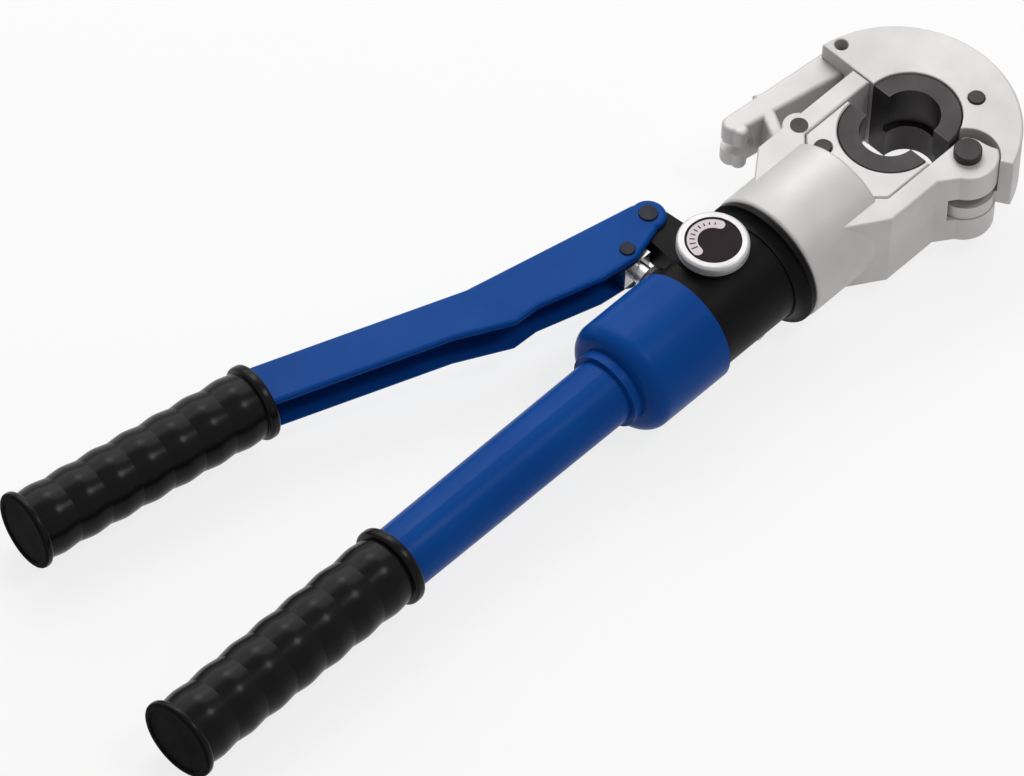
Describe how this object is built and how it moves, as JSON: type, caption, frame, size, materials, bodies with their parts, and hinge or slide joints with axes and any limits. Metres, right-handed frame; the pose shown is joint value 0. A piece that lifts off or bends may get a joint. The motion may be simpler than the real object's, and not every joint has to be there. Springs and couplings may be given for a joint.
{
  "type": "hydraulic crimping tool",
  "caption": "Inline hand-pumped hydraulic crimping tool: swivelling hinged-cover head with half dies, release-valve knob, pump lever and reservoir handle with rubber grips.",
  "frame": {"origin": "centre of the upper half die's bore, which is the crimping centre with the dies closed", "axes": "+X along the tool towards the head, +Y towards the pump lever, +Z along the die bore, normal to the plane in which lever, cover and latch swing"},
  "size_m": [0.4994, 0.1905, 0.0626],
  "materials": {
    "black_paint": "black semi-gloss paint on steel",
    "blue_paint": "semi-gloss blue paint",
    "cast_head": "satin nickel-plated forged steel",
    "die_steel": "black-oxide steel",
    "bright_steel": "ground steel",
    "bright_ring": "bright plated ring",
    "bronze": "turned bronze",
    "grip_rubber": "moulded dimpled rubber",
    "seal_rubber": "moulded nitrile rubber",
    "dark_face": "printed disc",
    "white_mark": "printed band"
  },
  "bodies": {
    "pump": {"pump_body": "black_paint", "swivel_collar": "black_paint", "swivel_retaining_ring": "bright_steel", "swivel_seal": "seal_rubber", "spring_anchor": "bright_steel", "plunger_gland": "die_steel", "plunger_seal": "seal_rubber", "suction_check_ball": "bright_steel", "suction_check_spring": "bright_steel", "outlet_check_ball": "bright_steel", "outlet_check_spring": "bright_steel", "valve_plugs": "bright_steel", "relief_ball": "bright_steel", "relief_spring": "bright_steel", "relief_adjuster": "bright_steel", "stem_seal": "seal_rubber", "reservoir_bell": "blue_paint", "handle_tube": "blue_paint", "oil_bladder": "seal_rubber", "suction_strainer": "bronze", "tube_plug": "bright_steel", "fixed_grip": "grip_rubber"},
    "handle": {"handle_channel": "blue_paint", "handle_pivot_pin": "die_steel", "link_pin": "die_steel", "handle_pin_clips": "die_steel", "grip_core": "bright_steel", "moving_grip": "grip_rubber"},
    "plunger": {"plunger": "bright_steel"},
    "knob": {"release_knob": "bright_ring", "knob_face": "dark_face", "knob_scale": "white_mark", "release_stem": "bright_steel"},
    "head": {"yoke": "cast_head", "ram_guide_ring": "bronze", "hinge_pin": "die_steel", "hinge_pin_clip": "die_steel", "keeper_pin": "die_steel"},
    "ram": {"ram_piston": "bright_steel", "piston_seal": "seal_rubber", "ram_return_spring": "bright_steel", "die_holder": "cast_head", "holder_screw": "bright_steel", "lower_die": "die_steel", "lower_button_spring": "bright_steel"},
    "cover": {"cover": "cast_head", "upper_die": "die_steel", "latch_pivot_pin": "die_steel", "upper_button_spring": "bright_steel"},
    "latch": {"latch_lever": "cast_head"},
    "upper_button": {"upper_die_button": "die_steel"},
    "lower_button": {"lower_die_button": "die_steel"}
  },
  "joints": [
    {"name": "handle_swing", "type": "hinge", "parent": "pump", "child": "handle", "pos_m": [-0.1145, 0.048, 0], "axis": [0, 0, 1], "range_deg": [-35, 14]},
    {"name": "plunger_stroke", "type": "slide", "parent": "pump", "child": "plunger", "axis": [0, -1, 0], "range_m": [-0.0129, 0.0053]},
    {"name": "head_swivel", "type": "hinge", "parent": "pump", "child": "head", "pos_m": [-0.0907, 0, 0], "axis": [1, 0, 0], "continuous": true},
    {"name": "ram_stroke", "type": "slide", "parent": "head", "child": "ram", "axis": [1, 0, 0], "range_m": [0, 0.0143], "stiffness_N_per_m": 1500, "springref_m": -0.005, "deforming": ["ram_return_spring"]},
    {"name": "cover_swing", "type": "hinge", "parent": "head", "child": "cover", "pos_m": [0.0004, -0.0326, 0], "axis": [0, 0, 1], "range_deg": [-85, 0]},
    {"name": "latch_swing", "type": "hinge", "parent": "cover", "child": "latch", "pos_m": [0.006, 0.047, 0], "axis": [0, 0, 1], "range_deg": [-85, 0]},
    {"name": "upper_button_press", "type": "slide", "parent": "cover", "child": "upper_button", "axis": [0, 0, -1], "range_m": [0, 0.0025], "stiffness_N_per_m": 800, "springref_m": -0.0015, "deforming": ["upper_button_spring"]},
    {"name": "lower_button_press", "type": "slide", "parent": "ram", "child": "lower_button", "axis": [0, 0, -1], "range_m": [0, 0.0025], "stiffness_N_per_m": 800, "springref_m": -0.0015, "deforming": ["lower_button_spring"]},
    {"name": "knob_turn", "type": "hinge", "parent": "pump", "child": "knob", "pos_m": [-0.118, 0.0077, 0], "axis": [0, 0, 1], "range_deg": [0, 150]}
  ],
  "couplings": [
    {"joint": "plunger_stroke", "follows": "handle_swing", "m_per_rad": 0.0208},
    {"joint": "latch_swing", "follows": "cover_swing", "ratio": 1}
  ]
}
